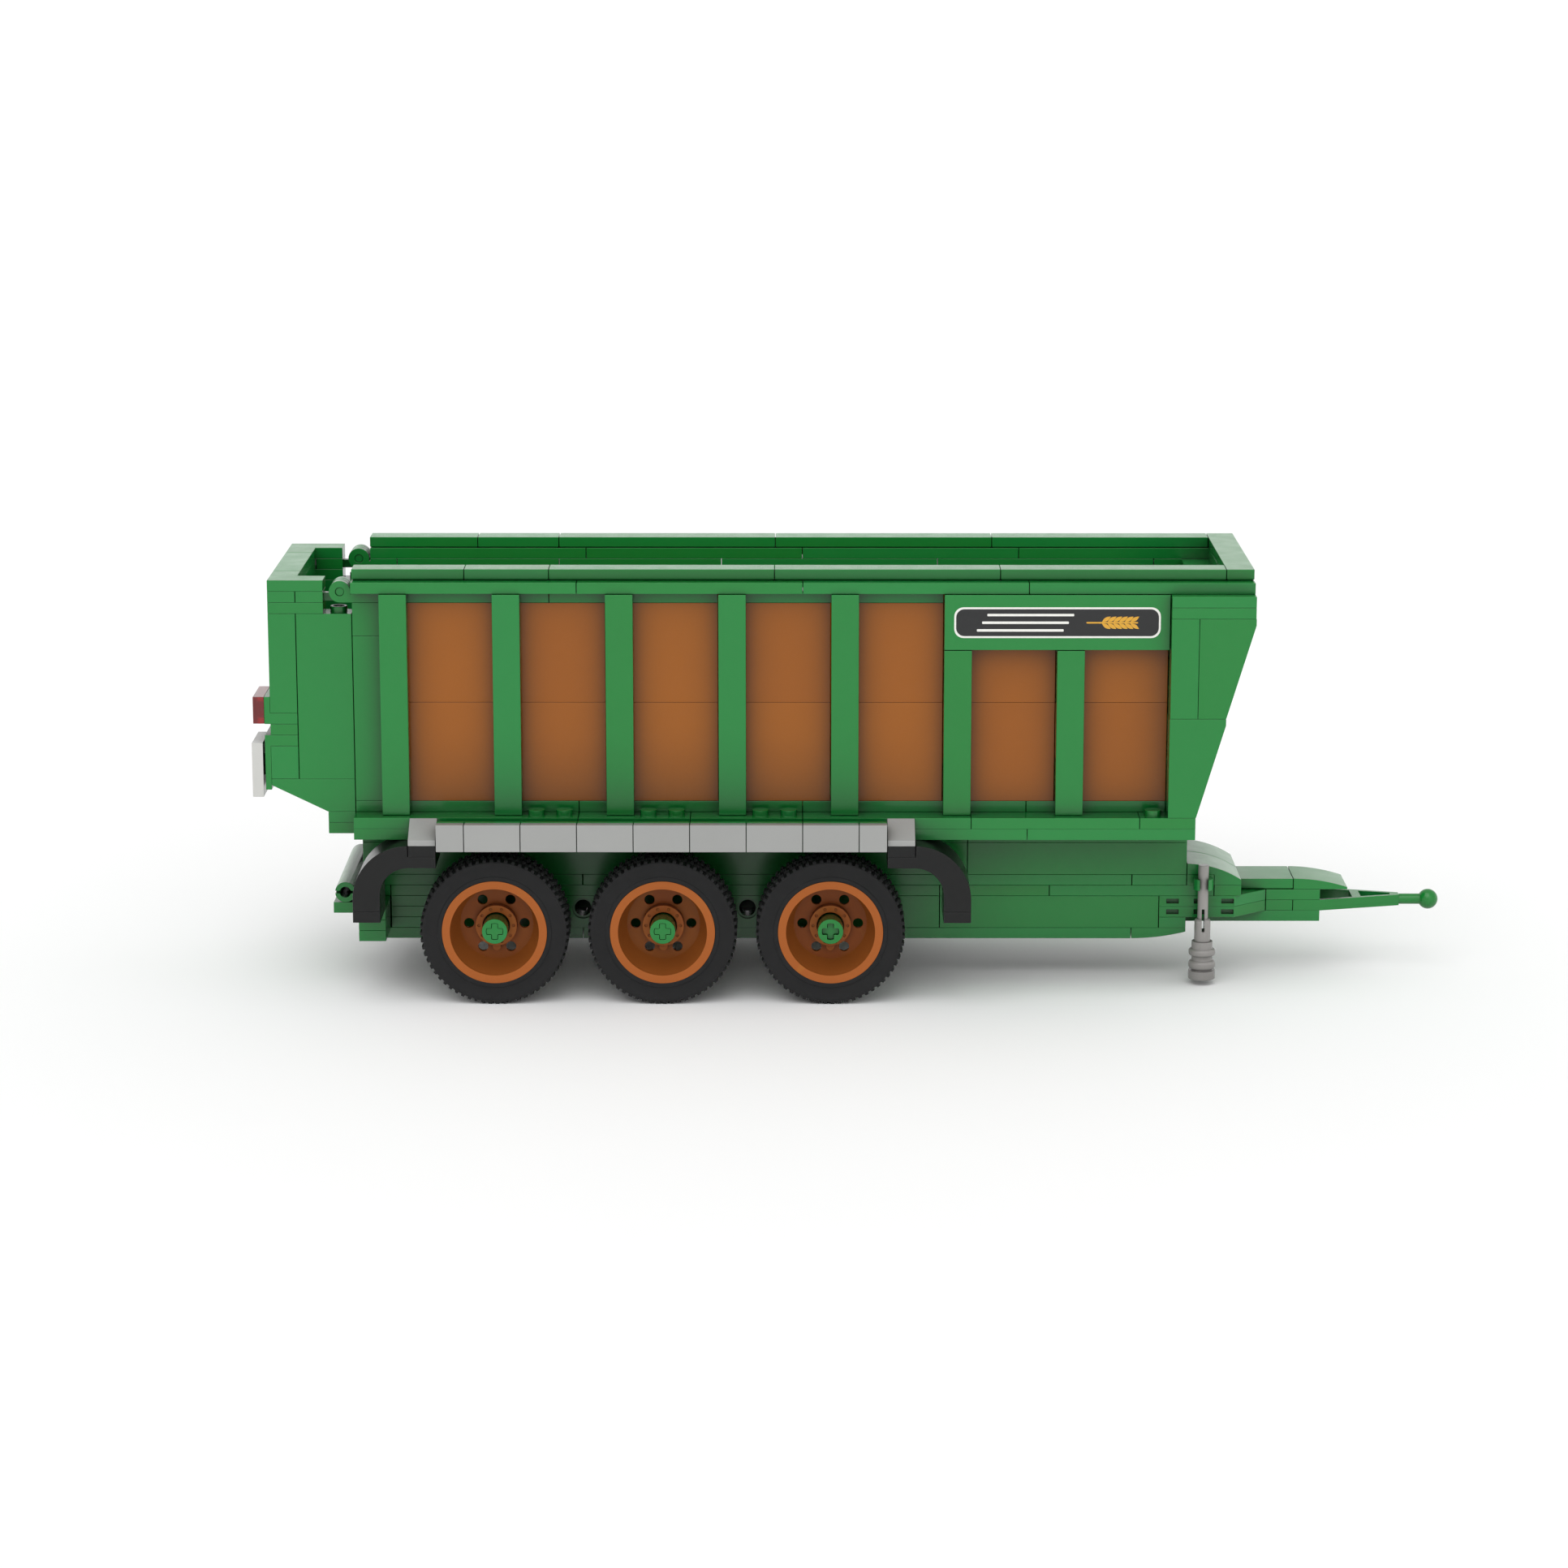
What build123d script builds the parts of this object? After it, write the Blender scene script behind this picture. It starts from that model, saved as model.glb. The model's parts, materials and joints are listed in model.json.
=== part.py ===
from build123d import *
import os

# Three-axle trailer built from toy bricks, in millimetres.
# Working frame: X forward from the tub's rear end, Y from the centre plane, Z from the top of the ledge.
# The finished frame has its origin on the ground under the middle of the whole object's box.

# ---------------------------------------------------------------- the brick system
STUD = 8.0              # pitch of the studs
PLATE = 3.2             # height of a plate or tile
PLAY = 0.1              # a piece stops this far short of its grid line
STACK = 0.02            # and this far short of the piece stacked on it
STUD_R = 2.4
STUD_H = 1.7
STUD_BORE_R = 1.6       # hollow stud
WALL = 1.5              # side wall of a hollow piece
ROOF = 1.0              # top wall of a hollow piece
GROOVE = 0.3            # fine groove round the open side of a tile
BRACKET = 1.6           # thin leg of a bracket
SEAT = 0.05             # clearance between pieces that sit round each other
RUN = 0.3               # gap between faces that slide or turn past each other

# ---------------------------------------------------------------- whole trailer, in studs and plates
TUB_STUDS = 32          # length over the rim
FLOOR_STUDS = 30        # length at the floor
HALF_TUB = 4 * STUD     # centre plane to the outside of the side panels
LEDGE = STUD            # the floor sticks out this far past the panels
HALF_BEAM = 2 * STUD    # half the width of the chassis beam
PANEL_STUDS = 4
PANELS = 7              # panels in a row
PANEL_H = 9 * PLATE
FIRST_RIB = 1           # stud line where the first panel and rib start
SIGN_FROM = 21          # stud line where the sign board starts
SIGN_STUDS = 8
SIGN_H = 2 * STUD
SLOPE_LIP = 1.9         # upright lip on the wide edge of a slope
NOSE_LIP = 1.2          # the same on the curved nose under the beam

# ---------------------------------------------------------------- running gear
AXLE_STUDS = {"rear": 5, "middle": 11, "front": 17}
AXLE_DROP = 10.2 * PLATE  # below the ledge
AXLE_R = 2.4
HOLE_R = AXLE_R + SEAT  # round cross hole in an axle brick
HOLE_RIM_R = 3.1        # shallow recess round that hole
HOLE_RIM_DEPTH = 0.8
AXLE_BLADE = 1.8        # thickness of the cross-shaped axle's blades
TYRE_R = 21.3
TYRE_W = 14.0
TYRE_SHOULDER = 2.4
WHEEL_INSIDE = 30.0     # centre plane to the inner side of a wheel
RIM_R = 15.0
RIM_WALL = 1.5
RIM_LIP = 0.9
DISC_FROM = 1.5         # wheel disc, measured outward from the wheel's inner side
DISC_T = 1.5
DISC_HOLE_R = 1.45
DISC_HOLE_PCR = 8.0
DISC_HOLES = 6
DISH_R = 12.7           # mouth of the dish in the outer lip
DISH_FLOOR_R = 10.5     # where the dish meets the disc
HUB_R = 5.95
HUB_W = 6.0
BOLTS = 10
BOLT_R = 0.45
BOLT_DEPTH = 0.3
VALVE_R = 1.2           # round-ended tab under the hub
VALVE_REACH = 1.7       # how far the tab stands out of the hub
VALVE_W = 5.0
BUSH_R = 3.65
HUB_BORE_R = BUSH_R + RUN  # the bush turns with the rim in this bore, against the disc
BUSH_END = 13.0         # outer end of the bush, from the wheel's inner side
AXLE_RECESS = {"rear": 0.2, "middle": 0.2, "front": 1.0}

# ---------------------------------------------------------------- tailgate hinge
GATE_STUDS = 3          # depth of the tailgate box
HINGE_X = -3.3
FINGER_R = 3.1
FINGER_ARM = 2.4        # height of the arm that carries a finger
FORK_W = 2.5            # width of each of the two outer fingers
TRUNNION_R = 1.2
LAMP_Z = 8 * PLATE
MARKER_Z = 4.2
MARKER_GAP = 0.6        # the marker plate stands this far off its bracket
MARKER_BOSS_R = 3.1

# ---------------------------------------------------------------- skirts, mudguards, underrun
SKIRT_Y = 44.0          # centre plane to the inside of the skirt bracket
SKIRT_SEAMS = [3, 4, 6, 8, 10, 12, 14, 16, 18, 19]
GUARD_OUTER = 6 * STUD
GUARD_ARC_R = 2 * STUD
GUARD_FRONT_STUD = 19   # stud line where the front pair of mudguards starts
TUBE_R = 3.0
TUBE_BORE_R = 1.6
TUBE_HALF = 3 * STUD
TUBE_SLOT = 0.8
TUBE_X = -4.4

# ---------------------------------------------------------------- drawbar and jack
BALL_R = 2.95
BALL_X = 312.7
NECK_R = 1.55
FRAME_END = 38 * STUD   # the two arms of the tow frame meet here
FRAME_ARM = 2.6
FRAME_TIE = 36.4 * STUD
NOTCH_W = 3.6
NOTCH_DEEP = 1.6
NOTCH_H = 1.4
JACK_X = 244.4
JACK_Y = -20.4
JACK_BAR_R = 1.55
JACK_SLEEVE_R = 2.35
JACK_SLEEVE_CHAMFER = 0.5
JACK_FOOT_R = 3.9
JACK_COLLAR_R = 3.05    # collar, waist and groove bottom alike
JACK_ROUND = 0.4        # rounding of a ring's edges, as a share of its height
JACK_SOLE_H = 2.5
JACK_WAIST_H = 1.2      # height of the waist between the two rings
JACK_RING_H = 2.2
JACK_COLLAR_H = 2.1
JACK_TOP = -18.4
JACK_SLEEVE_TOP = -34.4
JACK_FOOT_TOP = -41.1
JACK_SLOT = (-38.0, -31.4)
JACK_SLOT_W = 0.8
JACK_GAP = 1.7          # foot above the ground at rest
CLIP_WALL = 1.3
CLIP_GRIP = 0.06        # clearance of the clip on the bar

# ---------------------------------------------------------------- worked out
GROUND = -AXLE_DROP - TYRE_R
RIM_Z = 20 * PLATE      # underside of the rim plates
HINGE_Z = 19 * PLATE + FINGER_R
INNER = HALF_TUB - STUD
HALF_LEDGE = HALF_TUB + LEDGE
GATE_BACK = -GATE_STUDS * STUD
REAR_MOST = GATE_BACK - BRACKET - MARKER_GAP - PLATE
FRONT_MOST = BALL_X + BALL_R
CLIP_SEAT = ((30 * STUD, 31 * STUD), (-HALF_BEAM, -HALF_BEAM + STUD), (-8 * PLATE, -7 * PLATE))
FRAME = Pos(-(REAR_MOST + FRONT_MOST) / 2, 0, -GROUND)

bodies = {}


def studs(*lines):
    """Turn stud lines into millimetres."""
    return tuple(line * STUD for line in lines)


def plates(*layers):
    """Turn plate layers into millimetres."""
    return tuple(layer * PLATE for layer in layers)


def box_between(x, y, z):
    """A box between two values on each axis."""
    centre = [(low + high) / 2 for low, high in (x, y, z)]
    return Pos(*centre) * Box(x[1] - x[0], y[1] - y[0], z[1] - z[0])


def block(x, y, z, stack="z", hollow="-z"):
    """A brick, plate or tile: short of its grid lines except along the axis it stacks on."""
    names = "xyz"
    spans = dict(zip(names, (x, y, z)))
    outer = {n: (a, b - STACK) if n == stack else (a + PLAY, b - PLAY) for n, (a, b) in spans.items()}
    body = box_between(*outer.values())
    if hollow is None:
        return body
    inner = {n: (a + WALL, b - WALL) for n, (a, b) in outer.items()}
    low, high = outer[hollow[1]]
    inner[hollow[1]] = (low, high - ROOF) if hollow[0] == "-" else (low + ROOF, high)
    return body - box_between(*inner.values())


def tile(x, y, z, stack="z", hollow="-z"):
    """A smooth tile: a block with a fine groove round its open side."""
    low, high = {"x": x, "y": y, "z": z}[stack]
    foot = (low, low + GROOVE) if hollow[0] == "-" else (high - GROOVE, high)
    ring = [foot if name == stack else span for name, span in zip("xyz", (x, y, z))]
    inset = PLAY + GROOVE
    core = [span if span is foot else (span[0] + inset, span[1] - inset) for span in ring]
    return block(x, y, z, stack, hollow) - (box_between(*ring) - box_between(*core))


def row(seams, y, z, stack="z", hollow="-z", shape=block):
    """Blocks or tiles end to end along X, with their joints on the given stud lines."""
    return [shape(studs(a, b), y, z, stack, hollow) for a, b in zip(seams, seams[1:])]


def across(x, seams, z, stack="z", hollow="-z"):
    """Blocks side by side along Y, with their joints on the given stud lines."""
    return [block(x, studs(a, b), z, stack, hollow) for a, b in zip(seams, seams[1:])]


def stud_at(x, y, z, bore=0.0):
    """One stud that grows out of the piece below the given grid line."""
    height = STUD_H + STACK
    lift = Pos(x, y, z - STACK + height / 2)
    stud = lift * Cylinder(STUD_R, height)
    return stud - lift * Cylinder(bore, height) if bore else stud


def side_profile(points, y):
    """A closed outline in the XZ plane, carried from the first to the second value of Y."""
    outline = Plane.XZ * make_face(Polyline(*points, close=True))
    return Pos(0, y[1], 0) * extrude(outline, y[1] - y[0])


def both_sides(parts):
    """The parts and their mirror images across the centre plane."""
    return list(parts) + [mirror(part, about=Plane.XZ) for part in parts]


def along_y(radius, length, x, z, y=0.0):
    """A round bar lying along Y, centred on the given point."""
    return Pos(x, y, z) * Rot(90, 0, 0) * Cylinder(radius, length)


def write(body, node, parts):
    """Write one node as its own solids and note which body it belongs to."""
    solids = [solid for part in parts for solid in (FRAME * part).solids()]
    export_step(Compound(label=node, children=solids), f"parts/{node}.step")
    bodies.setdefault(body, []).append(node)


# ================================================================ tub
def floor_plates():
    """Two crossed layers of plates; the outer strips of the upper one carry a few bare studs."""
    strip = (-HALF_LEDGE, -INNER)
    upper = row([0, 8, 12, 16, 22, 28, 30], strip, plates(-1, 0))
    bare = {0: (6, 7), 1: (10, 11), 2: (14, 15), 5: (28,)}
    for index, lines in bare.items():
        for line in lines:
            upper[index] += stud_at((line + 0.5) * STUD, -HALF_LEDGE + STUD / 2, 0)
    lower = row([0, 12, 24, 30], strip, plates(-2, -1))
    write("chassis", "ledge_plates", both_sides(upper + lower))
    middle = (-INNER, INNER)
    floor = row([0, 10, 20, 30], middle, plates(-1, 0)) + row([0, 8, 16, 24, 30], middle, plates(-2, -1))
    write("chassis", "floor_plates", floor)


def side_walls():
    """Panels in two rows on a bottom plate, capped by top plates, with a post at the rear."""
    wall = (-HALF_TUB, -INNER)
    write("chassis", "side_bottom_plates", both_sides(row([0, 8, 16, 24, 29], wall, plates(0, 1))))
    seams = [FIRST_RIB + PANEL_STUDS * i for i in range(PANELS + 1)]
    panels = []
    for base in (PLATE, PLATE + PANEL_H):
        panels += row(seams, wall, (base, base + PANEL_H))
    write("chassis", "side_panels", both_sides(panels))
    write("chassis", "side_top_plates", both_sides(row([1, 7, 13, 21, 29], wall, plates(19, 20))))
    posts = [block(studs(0, 1), wall, plates(1, 16)), block(studs(0, 1), wall, plates(16, 19))]
    write("chassis", "rear_posts", both_sides(posts))


def ribs_and_signs():
    """Upright tiles on brackets over every panel joint, and a board across the last ribs."""
    top = RIM_Z
    back = (-HALF_TUB - BRACKET, -HALF_TUB)
    face = (back[0] - PLATE, back[0])
    tiles, brackets = [], []
    for index in range(PANELS):
        line = FIRST_RIB + PANEL_STUDS * index
        height = top if line < SIGN_FROM else top - SIGN_H
        x = studs(line, line + 1)
        tiles.append(tile(x, face, (0, height), "y", "+y"))
        brackets.append(block(x, back, (0, SIGN_H), "y", None))
        brackets.append(block(x, back, (height - SIGN_H, height), "y", None))
    sign_x = studs(SIGN_FROM, SIGN_FROM + SIGN_STUDS)
    sign_z = (top - SIGN_H, top)
    for line in (SIGN_FROM, SIGN_FROM + SIGN_STUDS // 2 - 1, SIGN_FROM + SIGN_STUDS - 2):
        brackets.append(block(studs(line, line + 2), back, sign_z, "y", None))
    write("chassis", "rib_tiles", both_sides(tiles))
    write("chassis", "rib_brackets", both_sides(brackets))
    write("chassis", "sign_boards", both_sides([tile(sign_x, face, sign_z, "y", "+y")]))


def rim():
    """Plates that overhang the panels by half a stud, closed by smooth tiles."""
    overhang = (-HALF_TUB - STUD / 2, -INNER)
    cross_x = studs(TUB_STUDS - 1, TUB_STUDS)
    rim_plates = both_sides(row([0, 8, 16, 24, 32], overhang, plates(20, 21)))
    rim_plates.append(block(cross_x, (-INNER, INNER), plates(20, 21)))
    write("chassis", "rim_plates", rim_plates)
    tiles = both_sides(row([0, 4, 7, 15, 23, 31], (-HALF_TUB, -INNER), plates(21, 22), shape=tile))
    tiles.append(tile(cross_x, (-HALF_TUB, HALF_TUB), plates(21, 22)))
    write("chassis", "rim_tiles", tiles)


def front_wall():
    """Inverted slopes in two rows lean the front wall forward; plates tie it to the rim."""
    middle = FLOOR_STUDS * STUD
    step, slope_h = STUD, 9 * PLATE
    lower = [
        (middle - step, 0),
        (middle, 0),
        (middle + step, slope_h - SLOPE_LIP),
        (middle + step, slope_h - STACK),
        (middle - step, slope_h - STACK),
    ]
    upper = [(x + step, z + slope_h) for x, z in lower]
    slopes = []
    for outline in (lower, upper):
        for line in range(-5, 5, 2):
            y = studs(line, line + 2)
            slopes.append(side_profile(outline, (y[0] + PLAY, y[1] - PLAY)))
    write("chassis", "front_slopes", slopes)
    column_x = studs(FLOOR_STUDS - 1, FLOOR_STUDS)
    side_y = (-HALF_LEDGE, -INNER)
    column = block(column_x, side_y, (slope_h, 2 * slope_h))
    write("chassis", "front_columns", both_sides([column]))
    ties = []
    for layer in (18, 19):
        z = plates(layer, layer + 1)
        ties += both_sides([block(studs(29, 32), side_y, z)])
        ties.append(block(studs(30, 32), (-INNER, INNER), z))
    write("chassis", "front_tie_plates", ties)


# ================================================================ hinge
def finger(y, reach_to):
    """A round-ended finger on an arm that reaches from the hinge axis to the given X."""
    length = y[1] - y[0]
    low = HINGE_Z - FINGER_R
    x = sorted((HINGE_X, reach_to))
    arm = box_between(x, y, (low, low + FINGER_ARM))
    return along_y(FINGER_R, length, HINGE_X, HINGE_Z, (y[0] + y[1]) / 2) + arm


def hinge():
    """Two-finger forks on the tub and single fingers with trunnions on the tailgate."""
    wall = (-HALF_TUB, -INNER)
    z = plates(19, 20)
    fork = block(studs(0, 1), wall, z, hollow=None)
    outside = (wall[0] + PLAY, wall[0] + PLAY + FORK_W)
    inside = (wall[1] - PLAY - FORK_W, wall[1] - PLAY)
    for y in (outside, inside):
        fork += finger(y, 2 * PLAY)
        bore = along_y(TRUNNION_R + SEAT, FORK_W, HINGE_X, HINGE_Z, (y[0] + y[1]) / 2)
        fork -= bore
    write("chassis", "hinge_forks", both_sides([fork]))
    middle = (outside[1] + RUN, inside[0] - RUN)
    x = studs(1 - GATE_STUDS, 2 - GATE_STUDS)
    leaf = block(x, wall, z, hollow=None) + finger(middle, x[1] - 2 * PLAY)
    trunnion_length = middle[1] - middle[0] + 2 * FORK_W
    leaf += along_y(TRUNNION_R, trunnion_length, HINGE_X, HINGE_Z, sum(middle) / 2)
    write("tailgate", "hinge_fingers", both_sides([leaf]))


# ================================================================ tailgate
def tailgate():
    """A box-shaped gate, open towards the tub, that hangs from the hinge."""
    wall = (-HALF_TUB, -INNER)
    back, front = GATE_BACK, 0
    rear_x = (back, back + STUD)
    lines = (-4, 4)
    corner = block((back, -STUD), wall, plates(20, 21), hollow=None)
    corner += block(rear_x, (-HALF_TUB, -HALF_TUB + 2 * STUD), plates(20, 21), hollow=None)
    top = both_sides([corner]) + across(rear_x, (-2, 2), plates(20, 21))
    write("tailgate", "gate_rim_tiles", top)
    upper = across(rear_x, lines, plates(19, 20))
    upper += both_sides([block((back, -STUD), wall, plates(18, 19))])
    upper += across(rear_x, (-3, 3), plates(18, 19))
    side = block((back + STUD, front), wall, plates(3, 18))
    side += stud_at(-STUD / 2, -HALF_TUB + STUD / 2, 18 * PLATE, STUD_BORE_R)
    write("tailgate", "gate_side_bricks", both_sides([side]))
    rear = across(rear_x, (-4, 0, 4), plates(9, 18)) + across(rear_x, lines, plates(3, 6))
    write("tailgate", "gate_rear_bricks", rear)
    seams = across(rear_x, (-2, 2), plates(6, 7)) + across(rear_x, lines, plates(7, 8))
    seams += across(rear_x, (-2, 2), plates(8, 9))
    slope_h = 3 * PLATE
    outline = [
        (back + PLAY, slope_h - STACK),
        (back + PLAY, slope_h - SLOPE_LIP),
        (-STUD, 0),
        (front - PLAY, 0),
        (front - PLAY, slope_h - STACK),
    ]
    slopes = []
    for line in range(-4, 4, 2):
        y = studs(line, line + 2)
        slopes.append(side_profile(outline, (y[0] + PLAY, y[1] - PLAY)))
    write("tailgate", "gate_bottom_slopes", slopes)
    sill = across((-STUD, front), lines, plates(-1, 0)) + across((-STUD, front), (-4, 0, 4), plates(-2, -1))
    write("tailgate", "gate_plates", upper + seams + sill)


def lamps_and_markers():
    """Brackets clamped between the rear plates carry a lamp lens and a square marker plate."""
    y = (-HALF_TUB, -HALF_TUB + 2 * STUD)
    rear_x = (GATE_BACK, GATE_BACK + STUD)
    leg_x = (GATE_BACK - BRACKET, GATE_BACK + PLAY)
    face_x = (leg_x[0] - PLATE, leg_x[0])
    leg_y = (y[0] + PLAY, y[1] - PLAY)
    lamp_z = (LAMP_Z, LAMP_Z + STUD)
    marker_x = (face_x[0] - MARKER_GAP, face_x[1] - MARKER_GAP)
    marker_z = (MARKER_Z, MARKER_Z + 2 * STUD)
    lamp_leg = box_between(leg_x, leg_y, (LAMP_Z, LAMP_Z + STUD - PLAY))
    lamp_bracket = block(rear_x, y, plates(8, 9), hollow=None) + lamp_leg
    marker_leg = box_between(leg_x, leg_y, (7 * PLATE - 2 * STUD, 7 * PLATE - STACK))
    marker_bracket = block(rear_x, y, plates(6, 7), hollow=None) + marker_leg
    write("tailgate", "rear_brackets", both_sides([lamp_bracket, marker_bracket]))
    write("tailgate", "lamp_lenses", both_sides([block(face_x, y, lamp_z, "x", "+x")]))
    boss_at = ((marker_x[1] - ROOF + leg_x[0]) / 2, sum(y) / 2, sum(marker_z) / 2)
    boss = Pos(*boss_at) * Rot(0, 90, 0) * Cylinder(MARKER_BOSS_R, MARKER_GAP + ROOF)
    marker = block(marker_x, y, marker_z, "x", None) + boss
    write("tailgate", "marker_plates", both_sides([marker]))


# ================================================================ skirts and mudguards
def skirts():
    """Grey tiles on angle brackets under the ledge, with a small slope at each end."""
    under = -2 * PLATE
    leg_y = (-SKIRT_Y - BRACKET, -SKIRT_Y)
    tile_y = (leg_y[0] - PLATE, leg_y[0])
    brackets, tiles = [], []
    for a, b in zip(SKIRT_SEAMS, SKIRT_SEAMS[1:]):
        x = studs(a, b)
        x_in = (x[0] + PLAY, x[1] - PLAY)
        foot = box_between(x_in, (-SKIRT_Y, -SKIRT_Y + STUD), (under - BRACKET, under))
        leg = box_between(x_in, leg_y, (under - BRACKET, 0))
        brackets.append(foot + leg)
        tiles.append(tile(x, tile_y, (under - BRACKET, under - BRACKET + STUD), "y", "+y"))
    write("chassis", "skirt_brackets", both_sides(brackets))
    write("chassis", "skirt_tiles", both_sides(tiles))
    ends = []
    top, low = 0, under
    for line in (SKIRT_SEAMS[0] - 1, SKIRT_SEAMS[-1]):
        x = studs(line, line + 1)
        outline = [
            (-GUARD_OUTER + PLAY, low),
            (-HALF_LEDGE - PLAY, low),
            (-HALF_LEDGE - PLAY, top),
            (-GUARD_OUTER + PLAY, low + BRACKET),
        ]
        face = Plane.YZ * make_face(Polyline(*outline, close=True))
        ends.append(Pos(x[0] + PLAY, 0, 0) * extrude(face, STUD - 2 * PLAY))
    write("chassis", "skirt_end_slopes", both_sides(ends))


def guard(y):
    """One mudguard: an upright limb, a quarter bend and a flat limb that goes forward."""
    limb, reach = STUD, 3 * STUD
    bend_x, bend_z = GUARD_ARC_R, -2 * PLATE - GUARD_ARC_R
    flat_low, flat_top, foot = -4 * PLATE, -3 * PLATE, -8 * PLATE
    inner_z = flat_low - limb
    side = (GUARD_ARC_R * (1 - 0.5**0.5), bend_z + GUARD_ARC_R * 0.5**0.5)
    inner_side = (bend_x - limb * 0.5**0.5, inner_z + limb * 0.5**0.5)
    edge = [
        Line((PLAY, foot), (PLAY, bend_z)),
        ThreePointArc((PLAY, bend_z), side, (bend_x - PLAY, bend_z + GUARD_ARC_R)),
        Polyline(
            (bend_x - PLAY, bend_z + GUARD_ARC_R),
            (bend_x - PLAY, flat_top),
            (reach - PLAY, flat_top),
            (reach - PLAY, flat_low),
            (bend_x, flat_low),
        ),
        ThreePointArc((bend_x, flat_low), inner_side, (limb - PLAY, inner_z)),
        Polyline((limb - PLAY, inner_z), (limb - PLAY, foot), (PLAY, foot)),
    ]
    face = Plane.XZ * make_face(Curve() + edge)
    return Pos(0, y[1], 0) * extrude(face, y[1] - y[0])


def mudguards():
    """Four mudguards: the front pair is the rear pair turned end for end."""
    y = (-GUARD_OUTER, -HALF_TUB)
    y_in = (y[0] + PLAY, y[1] - PLAY)
    span = 3 * STUD
    shapes, caps = [], []
    for start, turned in ((0, False), (GUARD_FRONT_STUD * STUD, True)):
        group = [
            guard(y_in),
            block((2 * STUD, 3 * STUD), y, plates(-3, -2)),
            block((0, STUD), y, plates(-9, -8)),
        ]
        if turned:
            group = [Pos(start + span, 0, 0) * mirror(part, about=Plane.YZ) for part in group]
        shapes += group[:1]
        caps += group[1:]
    write("chassis", "mudguards", both_sides(shapes))
    write("chassis", "mudguard_plates", both_sides(caps))


# ================================================================ chassis
def axle_brick(a, b, y):
    """A beam brick with a recessed round hole on every stud line inside it."""
    z = plates(-12, -9)
    brick = block(studs(a, b), y, z)
    wall = (y[0] + PLAY, y[1] - PLAY)
    for line in range(a + 1, b):
        x = line * STUD
        tube = along_y(HOLE_R + WALL / 2, wall[1] - wall[0], x, -AXLE_DROP, sum(wall) / 2)
        hole = along_y(HOLE_R, STUD, x, -AXLE_DROP, sum(wall) / 2)
        brick = brick + tube - hole
        for side in (wall[0] + HOLE_RIM_DEPTH / 2, wall[1] - HOLE_RIM_DEPTH / 2):
            brick -= along_y(HOLE_RIM_R, HOLE_RIM_DEPTH, x, -AXLE_DROP, side)
    return brick


def chassis():
    """The beam under the tub, layer by layer from the top down."""
    full = (-HALF_BEAM, HALF_BEAM)
    top = row([0, 8, 16, 24, 30], full, plates(-3, -2)) + row([0, 6, 14, 22, 30], full, plates(-4, -3))
    write("chassis", "beam_top_plates", top)
    bricks = row([0, 4, 12, 22, 30], (-HALF_BEAM, 0), plates(-7, -4))
    write("chassis", "beam_bricks", both_sides(bricks))
    seams = row([0, 8, 16, 28, 30], full, plates(-8, -7))
    seams += row([0, 1, 9, 17, 21, 25, 31, 32], full, plates(-9, -8))
    for low in (-10, -11, -12):
        seams += row([1, 3], full, plates(low, low + 1))
    write("chassis", "beam_middle_plates", seams)
    outer = (-HALF_BEAM, -HALF_BEAM + STUD)
    write("chassis", "axle_bricks", both_sides([axle_brick(3, 19, outer)]))
    write("chassis", "beam_front_bricks", both_sides(row([19, 21, 29], outer, plates(-12, -9))))
    write("chassis", "beam_bottom_plates", row([0, 8, 16, 28], full, plates(-13, -12)))
    start, end, low = 28 * STUD, 30 * STUD, -13 * PLATE
    lip = low + PLATE - NOSE_LIP
    rise = lip - low
    under = ((start + end) / 2, low + rise / 4)
    edge = [
        Polyline((start + PLAY, low), (start + PLAY, low + PLATE), (end - PLAY, low + PLATE), (end - PLAY, lip)),
        ThreePointArc((end - PLAY, lip), under, (start + PLAY, low)),
    ]
    nose = Plane.XZ * make_face(Curve() + edge)
    nose = Pos(0, HALF_BEAM - PLAY, 0) * extrude(nose, 2 * (HALF_BEAM - PLAY))
    write("chassis", "beam_nose", [nose])


def rear_end():
    """Cross plates that close the beam, and a slotted tube across the back."""
    x = (0, STUD)
    cross = across(x, (-4, 4), plates(-12, -11)) + across(x, (-4, 0, 4), plates(-11, -10))
    cross += across(x, (-1, 1), plates(-10, -9)) + across(x, (3, 4), plates(-10, -9))
    cross += across(x, (-4, -3), plates(-10, -9))
    shelves = both_sides([block((-STUD, STUD), studs(-3, -1), plates(-10, -9))])
    write("chassis", "rear_cross_plates", cross + shelves)
    z = -9 * PLATE + TUBE_R
    tube = along_y(TUBE_R, 2 * TUBE_HALF, TUBE_X, z) - along_y(TUBE_BORE_R, 2 * TUBE_HALF, TUBE_X, z)
    for side in (-1, 1):
        y = sorted((side * TUBE_HALF, side * (TUBE_HALF - STUD / 2)))
        slot = box_between((TUBE_X - TUBE_R, TUBE_X + TUBE_R), y, (z - TUBE_SLOT / 2, z + TUBE_SLOT / 2))
        tube -= slot
    write("chassis", "underrun_tube", [tube])


# ================================================================ running gear
def cross_bar(grow, length):
    """The cross-shaped axle section, lying along Y, made larger all round by grow."""
    blade, radius = AXLE_BLADE + 2 * grow, AXLE_R + grow
    cross = Box(blade, length, 2 * radius) + Box(2 * radius, length, blade)
    return cross & (Rot(90, 0, 0) * Cylinder(radius, length))


def turned(outline):
    """A face drawn as radius and distance outward, turned round the wheel's axis."""
    return Rot(90, 0, 0) * revolve(Plane.XZ * outline, Axis.Z)


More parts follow.
